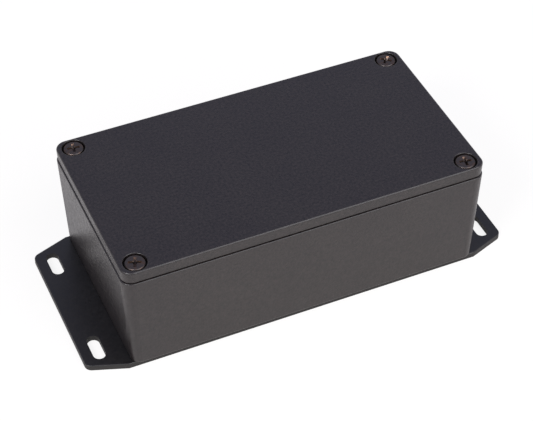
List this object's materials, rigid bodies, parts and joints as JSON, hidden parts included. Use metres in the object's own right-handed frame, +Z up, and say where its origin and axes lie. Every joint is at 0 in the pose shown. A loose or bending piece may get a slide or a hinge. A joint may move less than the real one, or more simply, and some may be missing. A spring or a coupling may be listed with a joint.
{
  "type": "die cast aluminium enclosure",
  "caption": "Black powder coated die cast aluminium electronics box with a screwed and sealed lid, on a flange plate with slotted ears.",
  "frame": {"origin": "under the middle of the flange plate, on its underside", "axes": "+X along the box's long side, towards one ear of the flange plate; +Z up through the lid"},
  "size_m": [0.1804, 0.08, 0.052],
  "materials": {
    "body_coat": "satin",
    "lid_coat": "satin",
    "plate_coat": "satin",
    "gasket_rubber": "matte",
    "lid_screw_steel": "satin",
    "plate_screw_steel": "satin"
  },
  "bodies": {
    "box": {"body": "body_coat", "flange_plate": "plate_coat", "plate_screw_1": "plate_screw_steel", "plate_screw_2": "plate_screw_steel", "plate_screw_3": "plate_screw_steel", "plate_screw_4": "plate_screw_steel"},
    "lid": {"lid": "lid_coat", "lid_gasket": "gasket_rubber"},
    "lid_screw_front_left": {"lid_screw_1": "lid_screw_steel"},
    "lid_screw_back_left": {"lid_screw_2": "lid_screw_steel"},
    "lid_screw_front_right": {"lid_screw_3": "lid_screw_steel"},
    "lid_screw_back_right": {"lid_screw_4": "lid_screw_steel"}
  },
  "joints": [
    {"name": "lid_lift", "type": "slide", "parent": "box", "child": "lid", "axis": [0, 0, 1], "range_m": [0, 0.06]},
    {"name": "lid_screw_front_left_turn", "type": "hinge", "parent": "lid", "child": "lid_screw_front_left", "pos_m": [-0.0682, -0.0343, 0.0494], "axis": [0, 0, 1], "continuous": true},
    {"name": "lid_screw_back_left_turn", "type": "hinge", "parent": "lid", "child": "lid_screw_back_left", "pos_m": [-0.0682, 0.0343, 0.0494], "axis": [0, 0, 1], "continuous": true},
    {"name": "lid_screw_front_right_turn", "type": "hinge", "parent": "lid", "child": "lid_screw_front_right", "pos_m": [0.0682, -0.0343, 0.0494], "axis": [0, 0, 1], "continuous": true},
    {"name": "lid_screw_back_right_turn", "type": "hinge", "parent": "lid", "child": "lid_screw_back_right", "pos_m": [0.0682, 0.0343, 0.0494], "axis": [0, 0, 1], "continuous": true}
  ]
}
